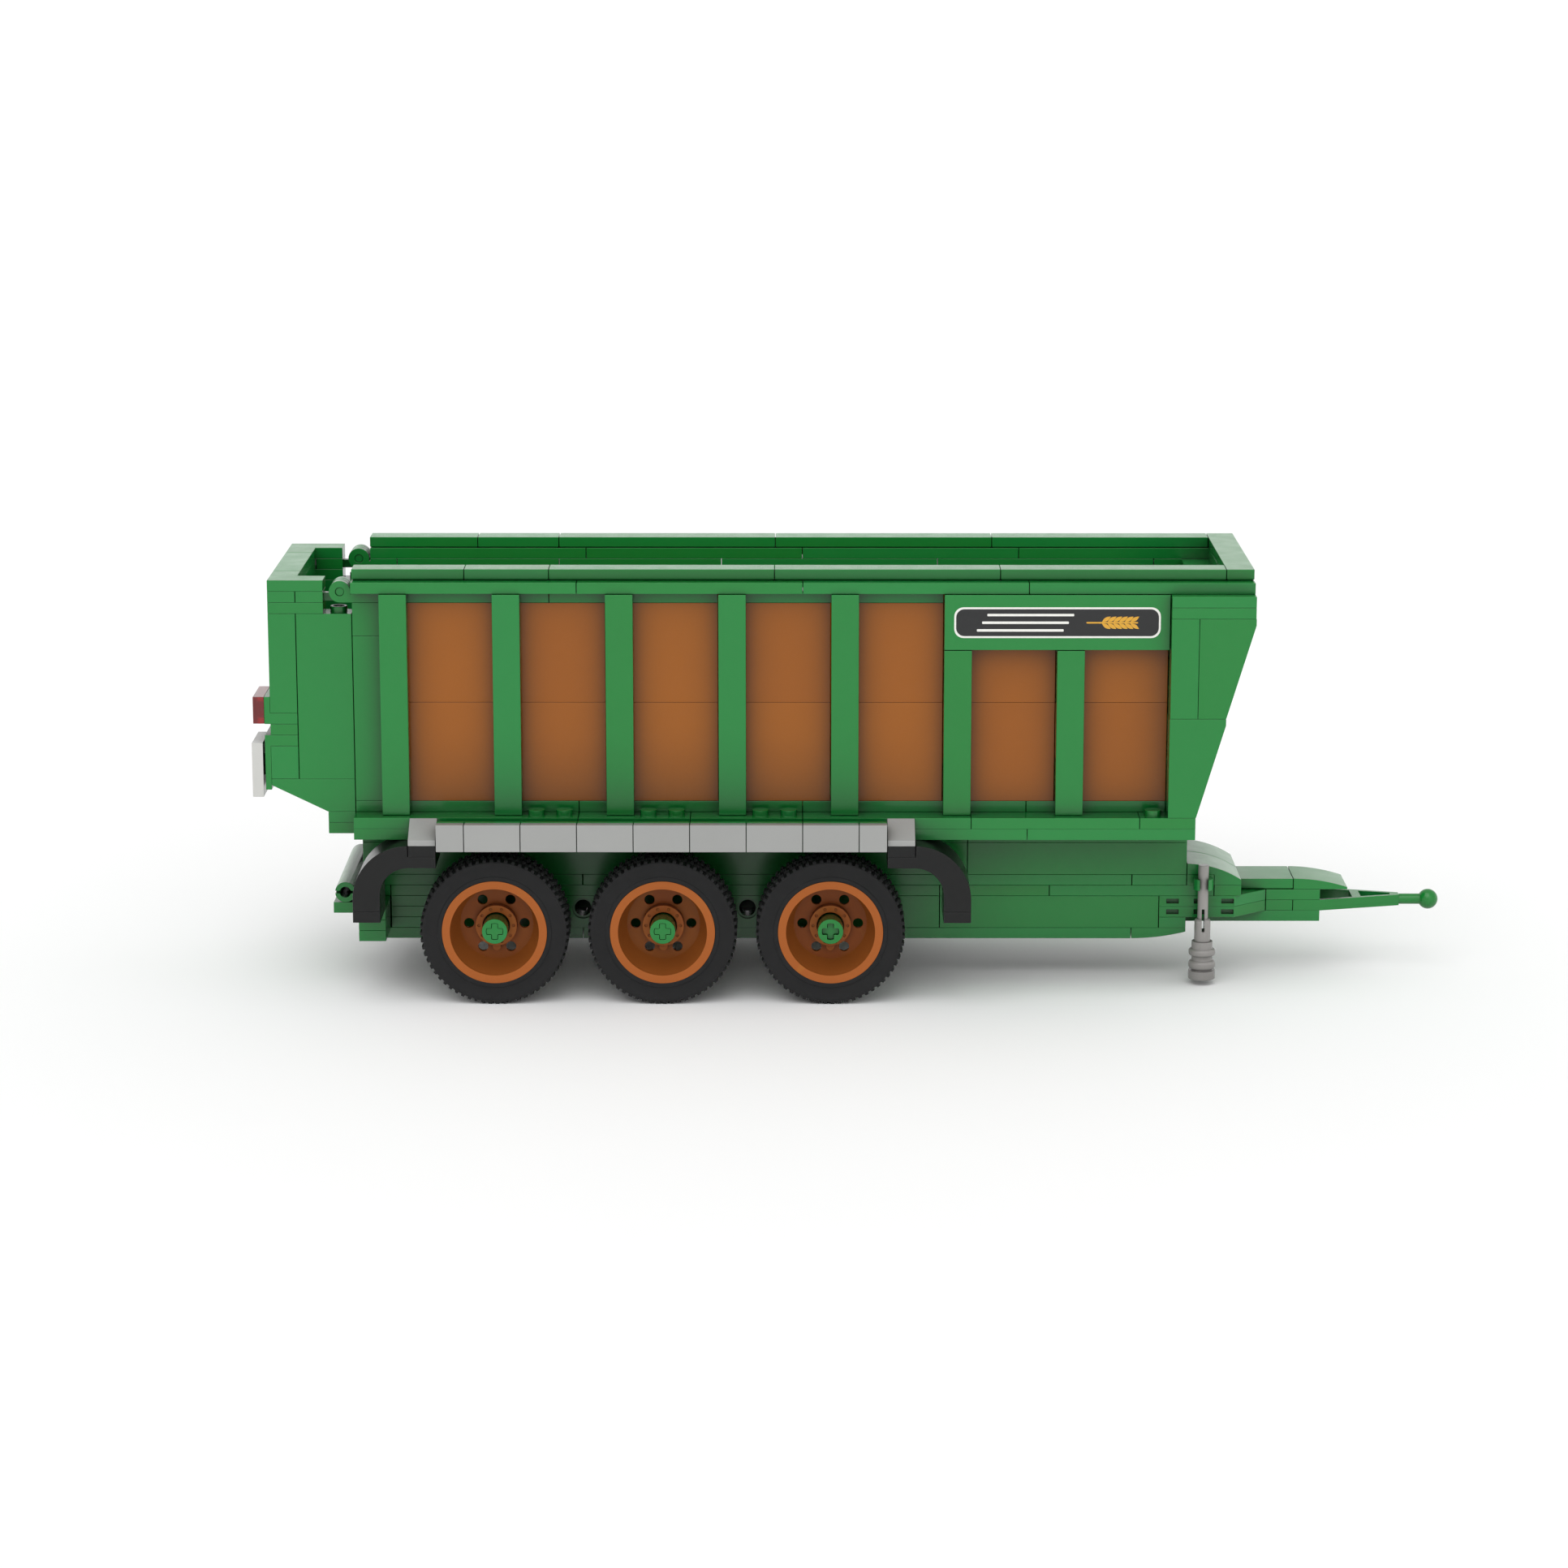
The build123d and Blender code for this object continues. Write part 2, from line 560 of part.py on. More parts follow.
def rim_shape():
    """Deep-dished rim: barrel with two lips, pierced disc, bolted hub and valve tab."""
    inside = RIM_R - RIM_WALL
    disc_top = DISC_FROM + DISC_T
    well = RIM_R - RIM_LIP
    dish = ((DISH_R + DISH_FLOOR_R) / 2 + RIM_LIP, disc_top + (TYRE_W - disc_top) / 4)
    outline = [
        Polyline(
            (inside, DISC_FROM),
            (inside, 0),
            (RIM_R, 0),
            (RIM_R, RIM_LIP),
            (well, 2 * RIM_LIP),
            (well, TYRE_W - 2 * RIM_LIP),
            (RIM_R, TYRE_W - RIM_LIP),
            (RIM_R, TYRE_W),
            (DISH_R, TYRE_W),
        ),
        ThreePointArc((DISH_R, TYRE_W), dish, (DISH_FLOOR_R, disc_top)),
        Polyline(
            (DISH_FLOOR_R, disc_top),
            (HUB_R, disc_top),
            (HUB_R, HUB_W),
            (HUB_BORE_R, HUB_W),
            (HUB_BORE_R, disc_top),
            (0, disc_top),
            (0, 0),
            (HUB_R, 0),
            (HUB_R, DISC_FROM),
            (inside, DISC_FROM),
        ),
    ]
    rim = turned(make_face(Curve() + outline))
    valve_at = Pos(0, -(DISC_FROM + VALVE_W) / 2, VALVE_R - HUB_R - VALVE_REACH)
    rim += valve_at * Rot(90, 0, 0) * Cylinder(VALVE_R, VALVE_W - DISC_FROM)
    for index in range(DISC_HOLES):
        spot = Rot(0, index * 360 / DISC_HOLES, 0) * Pos(DISC_HOLE_PCR, 0, 0)
        rim -= spot * Rot(90, 0, 0) * Cylinder(DISC_HOLE_R, 4 * disc_top)
    for index in range(BOLTS):
        spot = Rot(0, index * 360 / BOLTS, 0) * Pos((HUB_R + HUB_BORE_R) / 2, -HUB_W, 0)
        rim -= spot * Rot(90, 0, 0) * Cylinder(BOLT_R, 2 * BOLT_DEPTH)
    return rim - cross_bar(SEAT, 4 * HUB_W)


def tyre_shape():
    """Tyre that wraps the rim between its lips."""
    inner = RIM_R + SEAT
    shoulder = TYRE_R - TYRE_SHOULDER
    well = RIM_R - RIM_LIP + SEAT
    outline = [
        (well, 2 * RIM_LIP + SEAT),
        (inner, RIM_LIP),
        (inner, 0),
        (shoulder, 0),
        (TYRE_R, TYRE_SHOULDER),
        (TYRE_R, TYRE_W - TYRE_SHOULDER),
        (shoulder, TYRE_W),
        (inner, TYRE_W),
        (inner, TYRE_W - RIM_LIP),
        (well, TYRE_W - 2 * RIM_LIP - SEAT),
    ]
    return turned(make_face(Polyline(*outline, close=True)))


def running_gear():
    """Each axle turns on its own with two wheels, two outer bushes and two spacers."""
    rim_one, tyre_one = rim_shape(), tyre_shape()
    bush_from = DISC_FROM + DISC_T
    bush_w = BUSH_END - bush_from
    bush = Rot(90, 0, 0) * Cylinder(BUSH_R, bush_w) - cross_bar(SEAT, bush_w)
    spacer_w = WHEEL_INSIDE - HALF_BEAM - RUN
    spacer = Rot(90, 0, 0) * Cylinder(BUSH_R, spacer_w) - cross_bar(SEAT, spacer_w)
    for name, line in AXLE_STUDS.items():
        centre = Pos(line * STUD, 0, -AXLE_DROP)
        body = f"axle_{name}"
        wheel = Pos(0, -WHEEL_INSIDE, 0)
        bush_at = Pos(0, -WHEEL_INSIDE - bush_from - bush_w / 2, 0)
        spacer_at = Pos(0, -WHEEL_INSIDE + spacer_w / 2, 0)
        shaft_half = WHEEL_INSIDE + BUSH_END - AXLE_RECESS[name]
        write(body, f"{body}_shaft", [centre * cross_bar(0, 2 * shaft_half)])
        write(body, f"{body}_rims", both_sides([centre * wheel * rim_one]))
        write(body, f"{body}_tyres", both_sides([centre * wheel * tyre_one]))
        write(body, f"{body}_bushes", both_sides([centre * bush_at * bush, centre * spacer_at * spacer]))


# ================================================================ drawbar
def curved_slope(x, z_low, z_top, z_end, y):
    """A slope whose top starts level at the first X and bends down to the second."""
    x = (x[0] + PLAY, x[1] - PLAY)
    rise = z_top - z_end
    run = x[1] - x[0]
    radius = (run**2 + rise**2) / (2 * rise)
    half = (x[0] + run / 2, z_top - radius + (radius**2 - (run / 2) ** 2) ** 0.5)
    edge = [
        Polyline((x[1], z_end), (x[1], z_low), (x[0], z_low), (x[0], z_top)),
        ThreePointArc((x[0], z_top), half, (x[1], z_end)),
    ]
    face = Plane.XZ * make_face(Curve() + edge)
    return Pos(0, y[1] - PLAY, 0) * extrude(face, y[1] - y[0] - 2 * PLAY)


def wedge_plate(z):
    """A plate that narrows from four studs to two, with notches along its edges."""
    back, knee, tip = 29 * STUD + PLAY, 32 * STUD - 2, 33 * STUD - PLAY
    wide, slim = HALF_BEAM - PLAY, STUD - PLAY
    outline = [(back, -wide), (knee, -wide), (tip, -slim), (tip, slim), (knee, wide), (back, wide)]
    plate = Pos(0, 0, z[0]) * extrude(make_face(Polyline(*outline, close=True)), PLATE - STACK)
    notch_z = (z[0] + (PLATE - NOTCH_H) / 2, z[0] + (PLATE + NOTCH_H) / 2)
    for line in (29.5, 30.5, 31.5):
        x = (line * STUD - NOTCH_W / 2, line * STUD + NOTCH_W / 2)
        for side in (-1, 1):
            y = sorted((side * (wide - NOTCH_DEEP), side * HALF_BEAM))
            plate -= box_between(x, y, notch_z)
    return plate


def tow_frame():
    """Two arms that close on a neck with a ball, tied by a cross bar."""
    z = plates(-11, -10)
    start = 34 * STUD + PLAY
    wide = STUD - PLAY
    root = 35 * STUD
    slim = NECK_R
    outline = [(start, -wide), (root, -wide), (FRAME_END, -slim), (FRAME_END, slim), (root, wide), (start, wide)]
    plate = Pos(0, 0, z[0]) * extrude(make_face(Polyline(*outline, close=True)), PLATE)
    for x in ((root, FRAME_TIE - FRAME_ARM / 2), (FRAME_TIE + FRAME_ARM / 2, FRAME_END - FRAME_ARM)):
        half = [wide + (slim - wide) * (at - root) / (FRAME_END - root) - FRAME_ARM / 2 for at in x]
        half = [max(value, slim / 4) for value in half]
        gap = [(x[0], -half[0]), (x[1], -half[1]), (x[1], half[1]), (x[0], half[0])]
        plate -= Pos(0, 0, z[0]) * extrude(make_face(Polyline(*gap, close=True)), PLATE)
    middle = sum(z) / 2
    neck_length = BALL_X - FRAME_END + FRAME_ARM / 2
    neck_x = FRAME_END - FRAME_ARM / 2 + neck_length / 2
    neck = Pos(neck_x, 0, middle) * Rot(0, 90, 0) * Cylinder(NECK_R, neck_length)
    return plate + neck + Pos(BALL_X, 0, middle) * Sphere(BALL_R)


def drawbar():
    """The fixed drawbar in front of the beam, from its curved cover to the ball."""
    narrow = (-STUD, STUD)
    left = curved_slope(studs(30, 32), -8 * PLATE, -6 * PLATE, -7.5 * PLATE, (0, HALF_BEAM))
    right = mirror(left, about=Plane.XZ) - box_between(*CLIP_SEAT)
    write("chassis", "drawbar_cover_slopes", [left, right])
    write("chassis", "drawbar_wedge_plates", [wedge_plate(plates(-10, -9)), wedge_plate(plates(-11, -10))])
    write("chassis", "drawbar_tile", row([32, 34], narrow, plates(-9, -8), shape=tile))
    nose = curved_slope(studs(34, 36), -9 * PLATE, -8 * PLATE, -8.8 * PLATE, narrow)
    write("chassis", "drawbar_nose", [nose])
    spacers = row([33, 35], narrow, plates(-10, -9)) + row([33, 34], narrow, plates(-11, -10))
    spacers += row([29, 30], (-HALF_BEAM, HALF_BEAM), plates(-12, -11))
    spacers += row([30, 35], narrow, plates(-12, -11))
    write("chassis", "drawbar_lower_plates", spacers)
    write("chassis", "tow_frame", [tow_frame()])


def jack():
    """A parking jack that slides up and down in a clip plate set into the corner of the cover."""
    bar_at = Pos(JACK_X, JACK_Y, 0)
    ring = JACK_BAR_R + CLIP_GRIP
    z = CLIP_SEAT[2]
    clip = bar_at * Pos(0, 0, sum(z) / 2) * Cylinder(ring + CLIP_WALL, PLATE)
    edge = -HALF_BEAM
    clip += box_between((JACK_X - ring, JACK_X + ring), (JACK_Y, edge + PLAY), z)
    clip -= bar_at * Pos(0, 0, sum(z) / 2) * Cylinder(ring, 2 * PLATE)
    mouth = 0.8 * JACK_BAR_R
    clip -= box_between((JACK_X - mouth, JACK_X + mouth), (JACK_Y - 2 * ring, JACK_Y), z)
    clip += block(*CLIP_SEAT, hollow=None)
    write("chassis", "jack_clip", [clip])
    foot_low = GROUND + JACK_GAP
    slot = bar_at * box_between((-JACK_SLOT_W / 2, JACK_SLOT_W / 2), (-STUD, STUD), JACK_SLOT)
    bar_z = (JACK_FOOT_TOP, JACK_TOP)
    bar = bar_at * Pos(0, 0, sum(bar_z) / 2) * Cylinder(JACK_BAR_R, bar_z[1] - bar_z[0])
    sleeve_h = JACK_SLEEVE_TOP - JACK_FOOT_TOP
    sleeve_at = bar_at * Pos(0, 0, JACK_FOOT_TOP + sleeve_h / 2)
    sleeve = Cylinder(JACK_SLEEVE_R, sleeve_h)
    sleeve = chamfer(sleeve.edges().group_by(Axis.Z)[-1], JACK_SLEEVE_CHAMFER)
    sleeve = sleeve_at * (sleeve - Cylinder(JACK_BAR_R + SEAT, sleeve_h))
    height = JACK_FOOT_TOP - foot_low
    sole = Pos(0, 0, JACK_SOLE_H / 2) * Cylinder(JACK_FOOT_R, JACK_SOLE_H)
    core = Pos(0, 0, height / 2) * Cylinder(JACK_COLLAR_R, height)
    foot = sole + core
    upper_ring = (height - JACK_COLLAR_H - JACK_RING_H, height - JACK_COLLAR_H)
    lower_ring = (JACK_SOLE_H + GROOVE, upper_ring[0] - JACK_WAIST_H)
    for low, high in (lower_ring, upper_ring):
        ring_shape = Cylinder(JACK_FOOT_R, high - low)
        ring_shape = fillet(ring_shape.edges().filter_by(GeomType.CIRCLE), JACK_ROUND * (high - low))
        foot += Pos(0, 0, (low + high) / 2) * ring_shape
    write("jack", "jack_bar", [bar - slot])
    write("jack", "jack_sleeve", [sleeve - slot])
    write("jack", "jack_foot", [bar_at * Pos(0, 0, foot_low) * foot])


os.makedirs("parts", exist_ok=True)
floor_plates()
side_walls()
ribs_and_signs()
rim()
front_wall()
hinge()
tailgate()
lamps_and_markers()
skirts()
mudguards()
chassis()
rear_end()
running_gear()
drawbar()
jack()
for body, nodes in bodies.items():
    print(body, len(nodes), *nodes)
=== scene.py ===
"""Dresses the brick-built trailer: finishes, soft edges, tyres, sign print, tubes, rim strips, studio."""
import json
import logging
import math
from collections.abc import Iterable
from dataclasses import dataclass, field
from enum import Enum

import bpy
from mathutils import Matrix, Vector


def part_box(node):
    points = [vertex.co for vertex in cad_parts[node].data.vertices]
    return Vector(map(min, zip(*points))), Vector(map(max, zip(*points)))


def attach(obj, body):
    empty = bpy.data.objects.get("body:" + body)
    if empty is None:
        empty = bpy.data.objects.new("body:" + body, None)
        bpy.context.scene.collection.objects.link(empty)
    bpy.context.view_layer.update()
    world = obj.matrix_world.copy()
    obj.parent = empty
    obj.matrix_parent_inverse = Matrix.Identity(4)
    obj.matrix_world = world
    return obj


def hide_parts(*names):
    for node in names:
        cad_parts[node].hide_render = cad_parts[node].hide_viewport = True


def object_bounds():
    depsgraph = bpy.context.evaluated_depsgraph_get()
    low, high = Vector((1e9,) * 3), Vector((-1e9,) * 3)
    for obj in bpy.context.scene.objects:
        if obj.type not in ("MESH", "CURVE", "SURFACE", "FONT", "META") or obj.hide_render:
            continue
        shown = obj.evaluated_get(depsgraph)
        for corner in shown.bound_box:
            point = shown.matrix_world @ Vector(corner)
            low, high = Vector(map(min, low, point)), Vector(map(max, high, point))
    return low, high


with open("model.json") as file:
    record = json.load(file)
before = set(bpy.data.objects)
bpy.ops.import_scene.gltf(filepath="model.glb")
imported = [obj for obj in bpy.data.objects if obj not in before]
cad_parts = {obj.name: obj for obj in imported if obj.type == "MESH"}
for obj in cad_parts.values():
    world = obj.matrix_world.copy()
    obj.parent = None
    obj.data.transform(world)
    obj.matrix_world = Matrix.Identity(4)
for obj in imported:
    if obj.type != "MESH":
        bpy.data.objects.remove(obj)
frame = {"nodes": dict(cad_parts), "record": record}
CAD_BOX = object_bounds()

log = logging.getLogger("trailer")

MM = 0.001
STUD = 8 * MM
Span = tuple[float, float]
Triple = tuple[float, float, float]
Colour = Triple
Outline = list[Span]
Faces = list[tuple[int, ...]]


class Side(Enum):
    """The two long sides of the trailer, by the sign of Y."""

    RIGHT = -1
    LEFT = 1


class Axle(Enum):
    """The three axles, from the tailgate forward."""

    REAR = "rear"
    MIDDLE = "middle"
    FRONT = "front"


class Tread(Enum):
    """What a point of a tyre's section belongs to."""

    PLAIN = "wall or groove"
    LUG = "top of a lug"
    OFFSET_LUG = "top of a lug that stands half a pitch further round"


SectionPoint = tuple[float, float, Tread]


def linear(colour: Colour) -> tuple[float, float, float, float]:
    """Turn a display colour of 0 to 255 into the linear values that a shader takes.

    Args:
        colour: red, green and blue as they look on a display.

    Returns:
        The linear red, green and blue, with an alpha of 1.
    """
    full = 255
    shares = [value / full for value in colour]
    curved = [share / 12.92 if share <= 0.04045 else ((share + 0.055) / 1.055) ** 2.4 for share in shares]
    return (*curved, 1.0)


# ---------------------------------------------------------------- finishes
class Graph:
    """The node tree of one material, with short ways to add and join its nodes."""

    shade_rays = 6

    def __init__(self, name: str) -> None:
        """Start a material that holds only its shader.

        Args:
            name: what the material is called.
        """
        self.material = bpy.data.materials.new(name)
        self.material.use_nodes = True
        self.tree = self.material.node_tree
        self.shader = self.tree.nodes["Principled BSDF"]
        self.place = self.tree.nodes.new("ShaderNodeTexCoord").outputs["Object"]
        self.island = self.tree.nodes.new("ShaderNodeNewGeometry").outputs["Random Per Island"]

    def join(self, source: bpy.types.NodeSocket, target: bpy.types.NodeSocket) -> None:
        """Feed one socket into another."""
        self.tree.links.new(source, target)

    def noise(self, scale: float, detail: float = 2.0, stretch: Triple = (1, 1, 1)) -> bpy.types.NodeSocket:
        """Add smooth noise that is fixed to the object.

        Args:
            scale: how many blobs lie along one metre.
            detail: how many finer layers are laid over it.
            stretch: how much denser it is along each axis.

        Returns:
            The noise value, about 0 to 1.
        """
        mapping = self.tree.nodes.new("ShaderNodeMapping")
        mapping.inputs["Scale"].default_value = stretch
        self.join(self.place, mapping.inputs["Vector"])
        texture = self.tree.nodes.new("ShaderNodeTexNoise")
        texture.inputs["Scale"].default_value = scale
        texture.inputs["Detail"].default_value = detail
        self.join(mapping.outputs["Vector"], texture.inputs["Vector"])
        return texture.outputs["Fac"]

    def spread(self, source: bpy.types.NodeSocket, low: float, high: float) -> bpy.types.NodeSocket:
        """Stretch a value of 0 to 1 over a new range.

        Args:
            source: the value.
            low: what 0 becomes.
            high: what 1 becomes.

        Returns:
            The stretched value.
        """
        node = self.tree.nodes.new("ShaderNodeMapRange")
        node.inputs["To Min"].default_value = low
        node.inputs["To Max"].default_value = high
        self.join(source, node.inputs["Value"])
        return node.outputs["Result"]

    def product(self, one: bpy.types.NodeSocket, other: bpy.types.NodeSocket) -> bpy.types.NodeSocket:
        """Multiply two values.

        Args:
            one: the first value.
            other: the second value.

        Returns:
            Their product.
        """
        node = self.tree.nodes.new("ShaderNodeMath")
        node.operation = "MULTIPLY"
        self.join(one, node.inputs[0])
        self.join(other, node.inputs[1])
        return node.outputs[0]

    def shade(self, deepest: float, reach: float) -> bpy.types.NodeSocket:
        """Paint shade into the colour: the more closed-in a spot is, the darker it comes out, so recesses
        and the gaps between parts are darker.

        Args:
            deepest: the value in a fully closed-in spot; an open spot has 1.
            reach: how far away a neighbour still counts, in metres.

        Returns:
            The value.
        """
        # painted shade: ambient occlusion darkens the base colour where neighbours close in
        node = self.tree.nodes.new("ShaderNodeAmbientOcclusion")
        node.samples = self.shade_rays
        node.inputs["Distance"].default_value = reach
        return self.spread(node.outputs["AO"], deepest, 1)

    def tinted(self, colour: Colour, value: bpy.types.NodeSocket, hue: bpy.types.NodeSocket) -> None:
        """Give the shader a colour that varies a little in value and hue.

        Args:
            colour: the display colour at the middle of the range.
            value: a factor on its brightness.
            hue: the hue, where 0.5 leaves it as it is.
        """
        node = self.tree.nodes.new("ShaderNodeHueSaturation")
        node.inputs["Color"].default_value = linear(colour)
        self.join(value, node.inputs["Value"])
        self.join(hue, node.inputs["Hue"])
        self.join(node.outputs["Color"], self.shader.inputs["Base Color"])

    def bumps(self, *layers: tuple[bpy.types.NodeSocket, float, float]) -> None:
        """Lay bump layers over each other and feed them to the shader.

        Args:
            layers: a height, its strength and its depth in metres, each.
        """
        below = None
        for height, strength, depth in layers:
            node = self.tree.nodes.new("ShaderNodeBump")
            node.inputs["Strength"].default_value = strength
            node.inputs["Distance"].default_value = depth
            self.join(height, node.inputs["Height"])
            if below is not None:
                self.join(below, node.inputs["Normal"])
            below = node.outputs["Normal"]
        self.join(below, self.shader.inputs["Normal"])

    def fixed(self, **values: float) -> None:
        """Set shader values that are the same all over; an underscore stands for a space."""
        for name, value in values.items():
            self.shader.inputs[name.replace("_", " ")].default_value = value


@dataclass(frozen=True)
class MouldedPlastic:
    """Glossy injection-moulded plastic: each brick is a shade off its neighbour and gently wavy, with
    painted shade darkening its recesses.
    """

    name: str
    colour: Colour
    brick_spread: float = 0.05
    flow_spread: float = 0.03
    hue_spread: float = 0.004
    polish: Span = (0.16, 0.30)
    gloss: float = 0.5
    coat: float = 0.1
    coat_roughness: float = 0.08
    refraction: float = 1.46
    wave: float = 0.12
    wave_depth: float = 0.4 * MM
    skin: float = 0.05
    hairline: float = 0.03
    grain_depth: float = 0.02 * MM
    # painted shade: the value in a closed-in spot and how far neighbours count
    painted_shade_value: float = 0.1
    painted_shade_reach: float = 26 * MM

    def build(self) -> bpy.types.Material:
        """Make the material.

        Returns:
            The finished material.
        """
        graph = Graph(self.name)
        brick = graph.spread(graph.island, 1 - self.brick_spread, 1 + self.brick_spread)
        flow = graph.spread(graph.noise(45, 3), 1 - self.flow_spread, 1 + self.flow_spread)
        hue = graph.spread(graph.island, 0.5 - self.hue_spread, 0.5 + self.hue_spread)
        # painted shade: ambient occlusion multiplied into the colour makes recesses and gaps between parts
        # darker
        shade = graph.shade(self.painted_shade_value, self.painted_shade_reach)
        graph.tinted(self.colour, graph.product(graph.product(brick, flow), shade), hue)
        handled = graph.spread(graph.noise(160, 4), *self.polish)
        graph.join(handled, graph.shader.inputs["Roughness"])
        waves = (graph.noise(70, 1), self.wave, self.wave_depth)
        skin = (graph.noise(2600, 2), self.skin, self.grain_depth)
        upright = (1, 1, 0.04)
        hairlines = (graph.noise(900, 2, upright), self.hairline, self.grain_depth)
        graph.bumps(waves, skin, hairlines)
        graph.fixed(IOR=self.refraction, Specular_IOR_Level=self.gloss)
        graph.fixed(Coat_Weight=self.coat, Coat_Roughness=self.coat_roughness)
        return graph.material


@dataclass(frozen=True)
class TyreRubber:
    """Matt black rubber with a fine grain and a little dust in it."""

    name: str
    colour: Colour
    dust: Span = (0.75, 1.35)
    hue: Span = (0.49, 0.51)
    polish: Span = (0.42, 0.62)
    dent_depth: float = 0.1 * MM
    grain_depth: float = 0.03 * MM

    def build(self) -> bpy.types.Material:
        """Make the material.

        Returns:
            The finished material.
        """
        graph = Graph(self.name)
        dust = graph.spread(graph.noise(220, 5), *self.dust)
        hue = graph.spread(graph.noise(30, 1), *self.hue)
        graph.tinted(self.colour, dust, hue)
        graph.join(graph.spread(graph.noise(400, 3), *self.polish), graph.shader.inputs["Roughness"])
        dents = (graph.noise(300, 3), 0.2, self.dent_depth)
        graph.bumps(dents, (graph.noise(3500, 2), 0.3, self.grain_depth))
        graph.fixed(IOR=1.5, Specular_IOR_Level=0.25, Sheen_Weight=0.03, Sheen_Roughness=0.5)
        return graph.material


@dataclass(frozen=True)
class ClearPlastic:
    """See-through coloured moulding with faint flow lines."""

    name: str
    colour: Colour
    flow: Span = (0.85, 1.15)
    hue: Span = (0.497, 0.503)
    polish: Span = (0.03, 0.1)
    wave_depth: float = 0.2 * MM
    clearness: float = 0.7

    def build(self) -> bpy.types.Material:
        """Make the material.

        Returns:
            The finished material.
        """
        graph = Graph(self.name)
        across = (1, 3, 1)
        flow = graph.spread(graph.noise(260, 2, across), *self.flow)
        hue = graph.spread(graph.noise(90, 1), *self.hue)
        graph.tinted(self.colour, flow, hue)
        graph.join(graph.spread(graph.noise(300, 2), *self.polish), graph.shader.inputs["Roughness"])
        graph.bumps((graph.noise(240, 1), 0.1, self.wave_depth))
        graph.fixed(IOR=1.58, Transmission_Weight=self.clearness)
        return graph.material


@dataclass(frozen=True)
class PrintedFilm:
    """Satin ink on thin film, with the grain of its screen."""

    name: str
    colour: Colour
    ink: Span = (0.92, 1.08)
    hue: Span = (0.498, 0.502)
    polish: Span = (0.28, 0.42)
    screen_depth: float = 0.01 * MM

    def build(self) -> bpy.types.Material:
        """Make the material.

        Returns:
            The finished material.
        """
        graph = Graph(self.name)
        ink = graph.spread(graph.noise(1800, 2), *self.ink)
        hue = graph.spread(graph.noise(200, 1), *self.hue)
        graph.tinted(self.colour, ink, hue)
        graph.join(graph.spread(graph.noise(500, 2), *self.polish), graph.shader.inputs["Roughness"])
        graph.bumps((graph.noise(4000, 1), 0.08, self.screen_depth))
        graph.fixed(IOR=1.48)
        return graph.material


@dataclass(frozen=True)
class StudioPaper:
    """Matt white paper with barely visible tooth."""

    name: str
    colour: Colour
    shade: Span = (0.995, 1.005)
    hue: Span = (0.499, 0.501)
    polish: Span = (0.85, 0.95)
    tooth_depth: float = 0.05 * MM

    def build(self) -> bpy.types.Material:
        """Make the material.

        Returns:
            The finished material.
        """
        graph = Graph(self.name)
        hue = graph.spread(graph.noise(3, 1), *self.hue)
        graph.tinted(self.colour, graph.spread(graph.noise(6, 2), *self.shade), hue)
        graph.join(graph.spread(graph.noise(40, 2), *self.polish), graph.shader.inputs["Roughness"])
        graph.bumps((graph.noise(900, 2), 0.05, self.tooth_depth))
        graph.fixed(Specular_IOR_Level=0.2)
        return graph.material


FINISHES = {
    "green_plastic": MouldedPlastic("green_plastic", (18, 124, 50)),
    "brown_plastic": MouldedPlastic("brown_plastic", (156, 88, 16), hue_spread=0.001, gloss=0.35),
    "grey_plastic": MouldedPlastic("grey_plastic", (156, 157, 155), brick_spread=0.03, wave=0.7),
    "black_plastic": MouldedPlastic("black_plastic", (14, 15, 15), polish=(0.24, 0.36), gloss=0.3),
    # the rims carry deeper, shorter-reaching painted shade, which darkens the dish behind the hub
    "rim_plastic": MouldedPlastic(
        "rim_plastic",
        (164, 94, 42),
        brick_spread=0.02,
        gloss=0.15,
        coat=0,
        painted_shade_value=0.2,
        painted_shade_reach=8 * MM,
    ),
    "tyre_rubber": TyreRubber("tyre_rubber", (21, 21, 22)),
    # the jack carries lighter painted shade in its recesses
    "jack_plastic": MouldedPlastic("jack_plastic", (150, 147, 144), brick_spread=0.02, painted_shade_value=0.4),
    "white_plastic": MouldedPlastic("white_plastic", (198, 198, 194), brick_spread=0.01),
    "red_lens": ClearPlastic("red_lens", (158, 20, 20)),
}


# ---------------------------------------------------------------- mesh helpers
def mesh_piece(name: str, points: list[Vector], faces: Faces, crease: float) -> bpy.types.Object:
    """Make one mesh object.

    Args:
        name: what the piece is called.
        points: its corners, in metres.
        faces: the corners of each face, by number.
        crease: the angle in degrees above which an edge stays sharp.

    Returns:
        The new object, linked to the scene.
    """
    mesh = bpy.data.meshes.new(name)
    mesh.from_pydata([tuple(point) for point in points], [], faces)
    mesh.validate()
    mesh.shade_smooth()
    mesh.set_sharp_from_angle(angle=math.radians(crease))
    piece = bpy.data.objects.new(name, mesh)
    bpy.context.scene.collection.objects.link(piece)
    return piece


def ring_faces(rings: int, steps: int, closed: bool) -> Faces:
    """Number the quads between rings of points that lie one after another.

    Args:
        rings: how many rings there are.
        steps: how many points each ring has.
        closed: whether the last ring joins the first.

    Returns:
        The quads.
    """
    faces = []
    for ring in range(rings if closed else rings - 1):
        here, there = ring * steps, (ring + 1) % rings * steps
        for step in range(steps):
            after = (step + 1) % steps
            faces.append((here + step, here + after, there + after, there + step))
    return faces


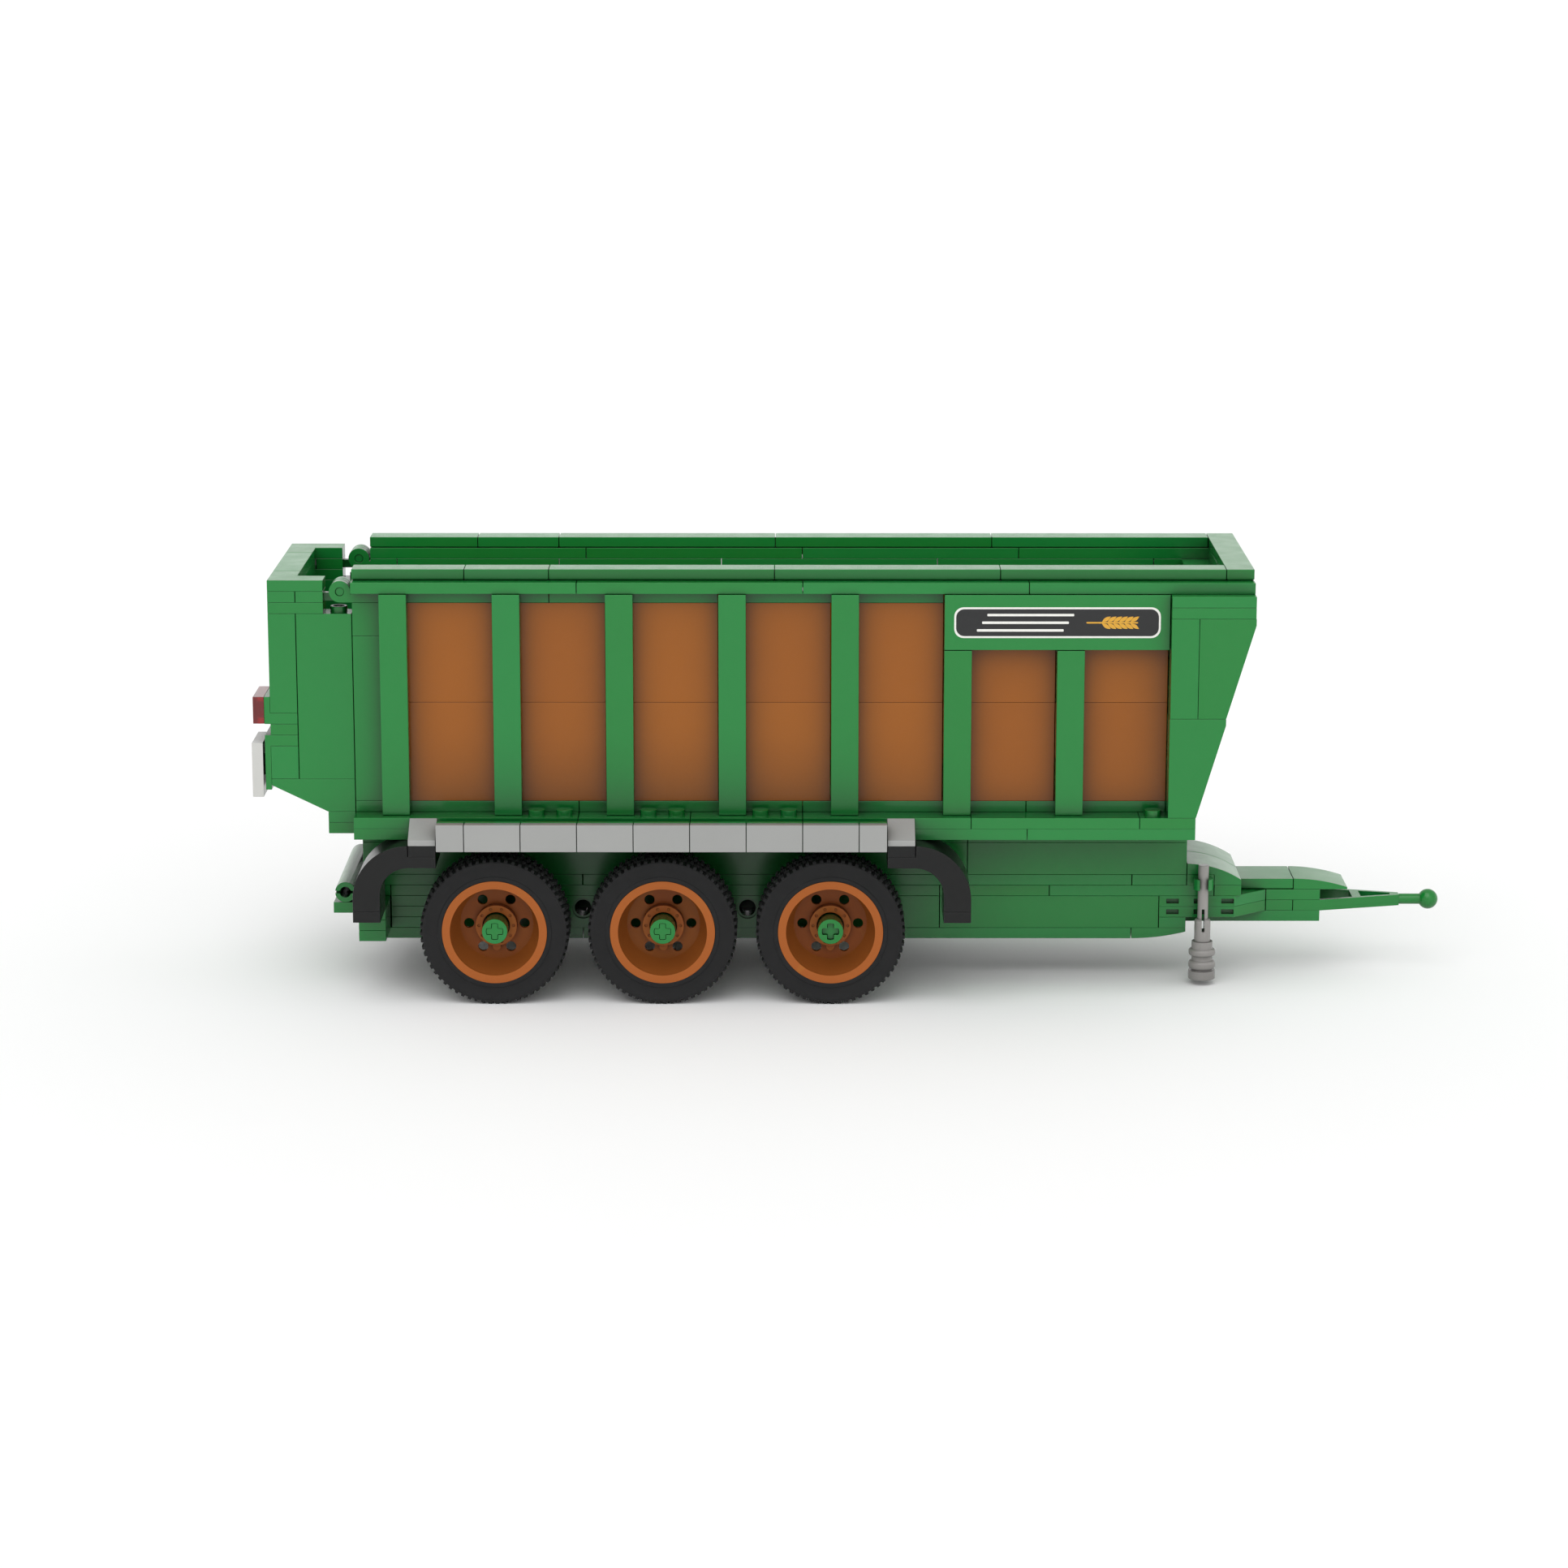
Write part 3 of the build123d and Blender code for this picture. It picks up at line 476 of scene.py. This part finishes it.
def prism_faces(count: int) -> Faces:
    """Number the ends and sides between two equal outlines that lie one after the other.

    Args:
        count: how many points each outline has.

    Returns:
        The faces: the far end, the sides and the near end.
    """
    faces = [tuple(range(count, 2 * count))]
    faces += [(i, (i + 1) % count, (i + 1) % count + count, i + count) for i in range(count)]
    faces.append(tuple(reversed(range(count))))
    return faces


def turned_over(faces: Faces) -> Faces:
    """Give the same faces with their fronts at the back."""
    return [tuple(reversed(face)) for face in faces]


def side_name(side: Side) -> str:
    """Give a side's word as it stands in the name of a piece."""
    return side.name.lower()


@dataclass(frozen=True)
class EdgeRounding:
    """The small radius that every moulded edge has."""

    width: float = 0.13 * MM
    steps: int = 2
    from_angle: float = 32.0
    weld: float = 0.001 * MM
    flat_angle: float = 0.5
    flat_weight: int = 100

    def soften(self, piece: bpy.types.Object) -> None:
        """Join the faces of each solid, clear its flat sides and round its edges.

        Args:
            piece: a carried-over piece, whose own mesh stays as it is.
        """
        weld = piece.modifiers.new("join_faces", "WELD")
        weld.merge_threshold = self.weld
        flat = piece.modifiers.new("clear_flats", "DECIMATE")
        flat.decimate_type = "DISSOLVE"
        flat.angle_limit = math.radians(self.flat_angle)
        bevel = piece.modifiers.new("round_edges", "BEVEL")
        bevel.width = self.width
        bevel.segments = self.steps
        bevel.limit_method = "ANGLE"
        bevel.angle_limit = math.radians(self.from_angle)
        bevel.miter_outer = "MITER_ARC"
        normals = piece.modifiers.new("even_shading", "WEIGHTED_NORMAL")
        normals.weight = self.flat_weight


# ---------------------------------------------------------------- carried-over pieces
@dataclass
class Bodywork:
    """Every piece that keeps its shape, with its finish and its rounded edges."""

    rounding: EdgeRounding = field(default_factory=EdgeRounding)
    materials: dict[str, bpy.types.Material] = field(default_factory=dict)

    def material(self, slot: str) -> bpy.types.Material:
        """Give the finish of a slot, made once.

        Args:
            slot: the slot's name.

        Returns:
            Its material.
        """
        if slot not in self.materials:
            self.materials[slot] = FINISHES[slot].build()
        return self.materials[slot]

    def dress(self, skip: Iterable[str]) -> None:
        """Dress every piece but the ones that are drawn anew.

        Args:
            skip: the pieces to leave.
        """
        slots = {part["node"]: part["material_slot"] for part in frame["record"]["subparts"]}
        for name, piece in sorted(frame["nodes"].items()):
            if name in skip:
                continue
            piece.data.materials.clear()
            piece.data.materials.append(self.material(slots[name]))
            self.rounding.soften(piece)
            log.info("dressed %s in %s", name, slots[name])


# ---------------------------------------------------------------- wheels
@dataclass
class Tyre:
    """One tyre with three rows of small lugs, drawn in place of the plain one."""

    axle: Axle
    side: Side
    lugs: int = 64
    lug_depth: float = 0.7 * MM
    lug_chamfer: float = 0.25 * MM
    edge_row: float = 0.32
    shoulder: float = 0.3 * MM
    groove: float = 0.5 * MM
    flank: float = 0.06
    play: float = 0.05 * MM
    bead_lip: float = 0.9 * MM
    bead_ring: float = 1.1 * MM
    well: float = 1.9 * MM
    step: float = 0.25 * MM
    step_rise: float = 0.3 * MM
    wall_top: float = 2.0 * MM
    crease: float = 30.0

    def row(self, start: float, end: float, tread: float, kind: Tread) -> list[SectionPoint]:
        """Give the outline of one row of lugs.

        Args:
            start: where the row starts across the tread.
            end: where it ends.
            tread: the radius over the lugs.
            kind: which lugs they are.

        Returns:
            Place across, radius and kind for each point.
        """
        chamfer = self.lug_chamfer
        low = tread - self.lug_depth
        return [
            (start, low, Tread.PLAIN),
            (start + chamfer / 2, tread - chamfer, kind),
            (start + 1.5 * chamfer, tread, kind),
            (end - 1.5 * chamfer, tread, kind),
            (end - chamfer / 2, tread - chamfer, kind),
            (end, low, Tread.PLAIN),
        ]

    def outline(self, rim: float, tread: float, width: float) -> list[SectionPoint]:
        """Give the tyre's section, from the bore round the outside and back.

        Args:
            rim: radius of the rim that it sits on.
            tread: radius over the lugs.
            width: its width.

        Returns:
            Place across, radius and kind for each point.
        """
        bore = rim + self.play
        round_off = 0.1 * MM
        front = [
            (self.well, bore - self.bead_lip, Tread.PLAIN),
            (self.bead_lip, bore, Tread.PLAIN),
            (round_off, bore, Tread.PLAIN),
            (0.0, bore + 1.5 * round_off, Tread.PLAIN),
            (0.0, bore + self.bead_ring, Tread.PLAIN),
            (self.step, bore + self.bead_ring + self.step_rise, Tread.PLAIN),
            (self.step, tread - self.wall_top, Tread.PLAIN),
            (self.step / 2, tread - self.wall_top + self.step_rise, Tread.PLAIN),
            (self.step / 2, tread - self.lug_depth - self.lug_chamfer, Tread.PLAIN),
        ]
        edge_row = self.edge_row * width
        front += self.row(self.shoulder, edge_row, tread, Tread.LUG)
        start = edge_row + self.groove
        middle = self.row(start, width - start, tread, Tread.OFFSET_LUG)
        back = [(width - across, radius, kind) for across, radius, kind in reversed(front)]
        return front + middle + back

    def build(self, material: bpy.types.Material) -> None:
        """Draw the tyre, fix it to its axle and let it stand for the plain one.

        Args:
            material: the rubber.
        """
        node = f"axle_{self.axle.value}_tyres"
        low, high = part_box(node)
        rim_low, rim_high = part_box(f"axle_{self.axle.value}_rims")
        inner = min(abs(vertex.co.y) for vertex in frame["nodes"][node].data.vertices)
        centre = (low + high) / 2
        tread = (high.z - low.z) / 2
        section = self.outline((rim_high.z - rim_low.z) / 2, tread, high.y - inner)
        pitch = 2 * math.pi / self.lugs
        marks = (self.flank, 0.5, 0.5 + self.flank, 1.0)
        turns = [(lug + mark) * pitch for lug in range(self.lugs) for mark in marks]
        raised = {
            Tread.PLAIN: (True, True, True, True),
            Tread.LUG: (True, True, False, False),
            Tread.OFFSET_LUG: (False, False, True, True),
        }
        points = []
        for across, radius, kind in section:
            y = self.side.value * (high.y - across)
            for step, turn in enumerate(turns):
                here = radius if raised[kind][step % len(marks)] else tread - self.lug_depth
                x = centre.x + here * math.cos(turn)
                points.append(Vector((x, y, centre.z + here * math.sin(turn))))
        faces = ring_faces(len(section), len(turns), True)
        if self.side is Side.LEFT:
            faces = turned_over(faces)
        name = f"tyre_{self.axle.value}_{side_name(self.side)}"
        piece = mesh_piece(name, points, faces, self.crease)
        piece.data.materials.append(material)
        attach(piece, f"axle_{self.axle.value}")
        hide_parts(node)
        log.info("built %s with %d lugs a row", name, self.lugs)


# ---------------------------------------------------------------- sign film
@dataclass
class SignFilm:
    """Generic print on a sign board: a dark bar with a pale edge, furrow lines and an ear of wheat."""

    side: Side
    film: float = 0.03 * MM
    long_share: float = 0.915
    high_share: float = 0.558
    edge: float = 0.55 * MM
    corner: float = 0.6
    corner_steps: int = 6
    line_half: float = 0.22 * MM
    stem_from: float = 0.28
    stem_share: float = 0.5
    grains: int = 6
    grain_from: float = 0.3
    grain_pitch: float = 0.11
    grain_share: float = 0.2
    grain_half: float = 0.55 * MM
    grain_steps: int = 6
    grain_turn: float = 32.0
    furrows: int = 3
    furrow_half: float = 0.42
    furrow_from: float = -0.36
    furrow_shift: float = 0.05
    furrow_gap: float = 0.5
    furrow_weight: float = 1.6
    crease: float = 30.0
    inks: dict[str, bpy.types.Material] = field(default_factory=dict)

    def slab(self, name: str, outline: Outline, layer: int, finish: str) -> None:
        """Lay one flat shape on the board.

        Args:
            name: what the shape is called.
            outline: its points in X and Z, counter-clockwise seen from the right.
            layer: how many films lie under it.
            finish: which ink it is printed in.
        """
        low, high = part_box("sign_boards")
        face = low.y if self.side is Side.RIGHT else high.y
        outward = self.side.value
        depths = (face, face + outward * self.film * (layer + 1))
        points = [Vector((x, y, z)) for y in depths for x, z in outline]
        faces = prism_faces(len(outline))
        if self.side is Side.LEFT:
            faces = turned_over(faces)
        piece = mesh_piece(f"{name}_{side_name(self.side)}", points, faces, self.crease)
        if finish not in self.inks:
            self.inks[finish] = PRINTS[finish].build()
        piece.data.materials.append(self.inks[finish])
        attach(piece, "chassis")

    def bar(self, centre: Vector, half: Span, radius: float) -> Outline:
        """Give a rounded bar.

        Args:
            centre: its middle.
            half: half its length and half its height.
            radius: radius of its corners.

        Returns:
            Its outline.
        """
        corners = ((1, 1), (-1, 1), (-1, -1), (1, -1))
        outline = []
        for quarter, (right, up) in enumerate(corners):
            for step in range(self.corner_steps + 1):
                turn = math.pi / 2 * (quarter + step / self.corner_steps)
                x = centre.x + right * (half[0] - radius) + radius * math.cos(turn)
                outline.append((x, centre.z + up * (half[1] - radius) + radius * math.sin(turn)))
        return outline

    def grain(self, x: float, z: float, turn: float, size: Span) -> Outline:
        """Give one pointed grain.

        Args:
            x: where its lower tip is.
            z: how high that tip is.
            turn: the way it points, in radians from +X.
            size: its length and half its width.

        Returns:
            Its outline.
        """
        shares = [step / self.grain_steps for step in range(self.grain_steps)]
        edge = [(share * size[0], -size[1] * math.sin(math.pi * share)) for share in shares]
        edge += [((1 - share) * size[0], size[1] * math.sin(math.pi * share)) for share in shares]
        cos, sin = math.cos(turn), math.sin(turn)
        return [(x + a * cos - b * sin, z + a * sin + b * cos) for a, b in edge]

    def ear(self, centre: Vector, half: float) -> None:
        """Lay the ear of wheat: a stem with a row of grains on each side.

        Args:
            centre: the middle of the bar.
            half: half the bar's length.
        """
        start = centre.x + self.stem_from * half
        length = self.stem_share * half
        stem = centre.copy()
        stem.x = start + length / 2
        self.slab("sign_stem", self.bar(stem, (length / 2, self.line_half), self.line_half), 2, "gold")
        size = (self.grain_share * length, self.grain_half)
        for index in range(self.grains):
            at = start + length * (self.grain_from + self.grain_pitch * index)
            for up in (1, -1):
                turn = up * math.radians(self.grain_turn)
                grain = self.grain(at, centre.z + up * self.line_half, turn, size)
                self.slab(f"sign_grain_{index}_{'upper' if up > 0 else 'lower'}", grain, 2, "gold")

    def build(self) -> None:
        """Lay the whole print on the board."""
        low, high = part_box("sign_boards")
        centre = (low + high) / 2
        half_x, half_z = (high.x - low.x) / 2, (high.z - low.z) / 2
        bar = (self.long_share * half_x, self.high_share * half_z)
        inner = (bar[0] - self.edge, bar[1] - self.edge)
        self.slab("sign_edge", self.bar(centre, bar, bar[1] * self.corner), 0, "pale")
        self.slab("sign_bar", self.bar(centre, inner, inner[1] * self.corner), 1, "dark")
        self.ear(centre, bar[0])
        for index in range(self.furrows):
            line = centre.copy()
            line.x += (self.furrow_from + index * self.furrow_shift) * bar[0]
            line.z += (index - 1) * self.furrow_gap * bar[1]
            half = (self.furrow_half * bar[0], self.furrow_weight * self.line_half)
            self.slab(f"sign_furrow_{index}", self.bar(line, half, self.line_half), 2, "pale")
        log.info("laid the print on the %s sign board", side_name(self.side))


PRINTS = {
    "dark": PrintedFilm("ink_dark", (30, 31, 32)),
    "pale": PrintedFilm("ink_pale", (232, 232, 226)),
    "gold": PrintedFilm("ink_gold", (214, 160, 48)),
}


# ---------------------------------------------------------------- undersides
@dataclass
class UndersideTubes:
    """The hollow tubes that grip studs, under the plates that show from below."""

    node: str
    columns: tuple[float, ...]
    first: int
    last: int
    seams: tuple[int, ...]
    outer: float = 3.2 * MM
    bore: float = 2.4 * MM
    height: float = 2.1 * MM
    steps: int = 32
    crease: float = 40.0

    def tube(self, x: float, y: float, z: float, start: int) -> tuple[list[Vector], Faces]:
        """Give one tube that hangs from its roof to the plate's lower edge.

        Args:
            x: its place along the trailer.
            y: its place across.
            z: its lower end.
            start: the number of its first point.

        Returns:
            Its points and faces.
        """
        roof = z + self.height
        rings = ((self.bore, z), (self.outer, z), (self.outer, roof), (self.bore, roof))
        turns = [2 * math.pi * step / self.steps for step in range(self.steps)]
        points = [Vector((x + r * math.cos(t), y + r * math.sin(t), h)) for r, h in rings for t in turns]
        faces = [tuple(start + i for i in face) for face in ring_faces(len(rings), self.steps, True)]
        return points, faces

    def build(self, material: bpy.types.Material) -> None:
        """Draw all tubes of the plates as one piece.

        Args:
            material: the plates' finish.
        """
        low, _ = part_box(self.node)
        rear = frame_rear()
        points, faces = [], []
        for line in range(self.first, self.last):
            if line in self.seams:
                continue
            for column in self.columns:
                more, sides = self.tube(rear + line * STUD, column * STUD, low.z, len(points))
                points += more
                faces += sides
        piece = mesh_piece(f"{self.node}_tubes", points, faces, self.crease)
        piece.data.materials.append(material)
        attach(piece, "chassis")
        log.info("built the tubes under %s", self.node)


@dataclass
class SeamStrip:
    """A thin strip inside the rim of one side, which stops light in the joints between the plates."""

    side: Side
    stud_line: float = 3.5
    thickness: float = 0.2 * MM
    inset: float = 4.5 * MM
    cover: float = 0.6 * MM
    crease: float = 30.0

    def build(self, material: bpy.types.Material) -> None:
        """Draw the strip along the middle of the rim.

        Args:
            material: the rim's finish.
        """
        low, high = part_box("rim_plates")
        _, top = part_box("rim_tiles")
        middle = self.side.value * self.stud_line * STUD
        rear, front = low.x + self.inset, high.x - self.inset
        right, left = middle - self.thickness / 2, middle + self.thickness / 2
        corners = ((rear, right), (front, right), (front, left), (rear, left))
        levels = (low.z + self.cover, top.z - self.cover)
        points = [Vector((x, y, z)) for z in levels for x, y in corners]
        name = f"rim_strip_{side_name(self.side)}"
        piece = mesh_piece(name, points, prism_faces(len(corners)), self.crease)
        piece.data.materials.append(material)
        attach(piece, "chassis")
        log.info("built %s", name)


def frame_rear() -> float:
    """Give the X of the tub's rear end, where the stud lines start."""
    low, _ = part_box("rim_plates")
    play = 0.1 * MM
    return low.x - play


# ---------------------------------------------------------------- studio
@dataclass(frozen=True)
class BroadLight:
    """One broad light that reaches the whole floor evenly."""

    name: str
    tilt: Triple
    strength: float
    softness: float

    def hang(self) -> None:
        """Hang the light; its tilt and softness are in degrees, its strength in watts for a square metre."""
        lamp = bpy.data.lights.new(self.name, "SUN")
        lamp.energy = self.strength
        lamp.angle = math.radians(self.softness)
        holder = bpy.data.objects.new(self.name, lamp)
        holder.rotation_euler = [math.radians(angle) for angle in self.tilt]
        bpy.context.scene.collection.objects.link(holder)


@dataclass
class Studio:
    """Pale floor that bends up far away, soft white light all round and the viewing camera."""

    floor_rings: tuple[float, ...] = (1.0, 4.0)
    floor_reach: float = 8.5
    bend: float = 2.0
    bend_steps: int = 6
    wall: float = 0.6
    steps: int = 64
    crease: float = 60.0
    sky: float = 0.78
    pitch: float = 12.61
    yaw: float = -0.115
    distance: float = 1.2729
    aim_x: float = -20.5 * MM
    aim_z: float = -7.2 * MM
    lens: float = 99.5
    sensor: float = 36.0
    sight: float = 100.0
    lights: tuple[BroadLight, ...] = (
        BroadLight("key_above", tilt=(28, -14, 0), strength=0.85, softness=50),
        BroadLight("fill_front", tilt=(66, 12, 0), strength=0.5, softness=60),
    )

    def floor(self) -> None:
        """Lay the floor under the tyres and bend it up into a low wall all round."""
        profile = [(radius, 0.0) for radius in self.floor_rings]
        for step in range(self.bend_steps + 1):
            turn = math.pi / 2 * step / self.bend_steps
            reach = self.floor_reach + self.bend * math.sin(turn)
            profile.append((reach, self.bend * (1 - math.cos(turn))))
        profile.append((self.floor_reach + self.bend, self.bend + self.wall))
        ground = CAD_BOX[0][2]
        turns = [2 * math.pi * step / self.steps for step in range(self.steps)]
        points = [
            Vector((radius * math.cos(turn), radius * math.sin(turn), ground + up))
            for radius, up in profile
            for turn in turns
        ]
        faces = ring_faces(len(profile), self.steps, False) + [tuple(reversed(range(self.steps)))]
        floor = mesh_piece("studio_floor", points, faces, self.crease)
        floor.data.materials.append(StudioPaper("studio_paper", (251, 251, 251)).build())

    def sky_light(self) -> None:
        """Fill the surroundings with even white light."""
        world = bpy.data.worlds.new("studio_sky")
        world.use_nodes = True
        backdrop = world.node_tree.nodes["Background"]
        backdrop.inputs["Color"].default_value = (1, 1, 1, 1)
        backdrop.inputs["Strength"].default_value = self.sky
        bpy.context.scene.world = world
        bpy.context.scene.view_settings.view_transform = "Standard"

    def camera(self) -> None:
        """Stand the camera level with the wheels' side and look slightly down."""
        pitch, yaw = math.radians(self.pitch), math.radians(self.yaw)
        low, high = CAD_BOX
        middle = (Vector(low) + Vector(high)) / 2
        aim = Vector((middle.x + self.aim_x, 0, middle.z + self.aim_z))
        ahead = Vector((math.sin(yaw) * math.cos(pitch), math.cos(yaw) * math.cos(pitch), -math.sin(pitch)))
        lens = bpy.data.cameras.new("view")
        lens.lens = self.lens
        lens.sensor_width = self.sensor
        lens.clip_end = self.sight
        holder = bpy.data.objects.new("view", lens)
        holder.location = aim - self.distance * ahead
        holder.rotation_euler = (math.pi / 2 - pitch, 0, -yaw)
        bpy.context.scene.collection.objects.link(holder)
        bpy.context.scene.camera = holder

    def build(self) -> None:
        """Set up floor, lights and camera."""
        self.floor()
        self.sky_light()
        for light in self.lights:
            light.hang()
        self.camera()
        log.info("set the studio")


UNDERSIDES = (
    UndersideTubes("beam_bottom_plates", columns=(-1, 0, 1), first=1, last=28, seams=(8, 16)),
    UndersideTubes("ledge_plates", columns=(-4, 4), first=1, last=30, seams=(12, 24)),
    UndersideTubes("floor_plates", columns=(-2, 2), first=1, last=30, seams=(8, 16, 24)),
)


def main() -> None:
    """Build every sub-assembly in order."""
    logging.basicConfig(level=logging.INFO, format="%(message)s")
    Studio().build()
    bodywork = Bodywork()
    tyres = [Tyre(axle, side) for axle in Axle for side in Side]
    bodywork.dress({f"axle_{axle.value}_tyres" for axle in Axle})
    for tyre in tyres:
        tyre.build(bodywork.material("tyre_rubber"))
    inks: dict[str, bpy.types.Material] = {}
    for side in Side:
        SignFilm(side, inks=inks).build()
        SeamStrip(side).build(bodywork.material("green_plastic"))
    for tubes in UNDERSIDES:
        tubes.build(bodywork.material("green_plastic"))


if __name__ == "__main__":
    main()
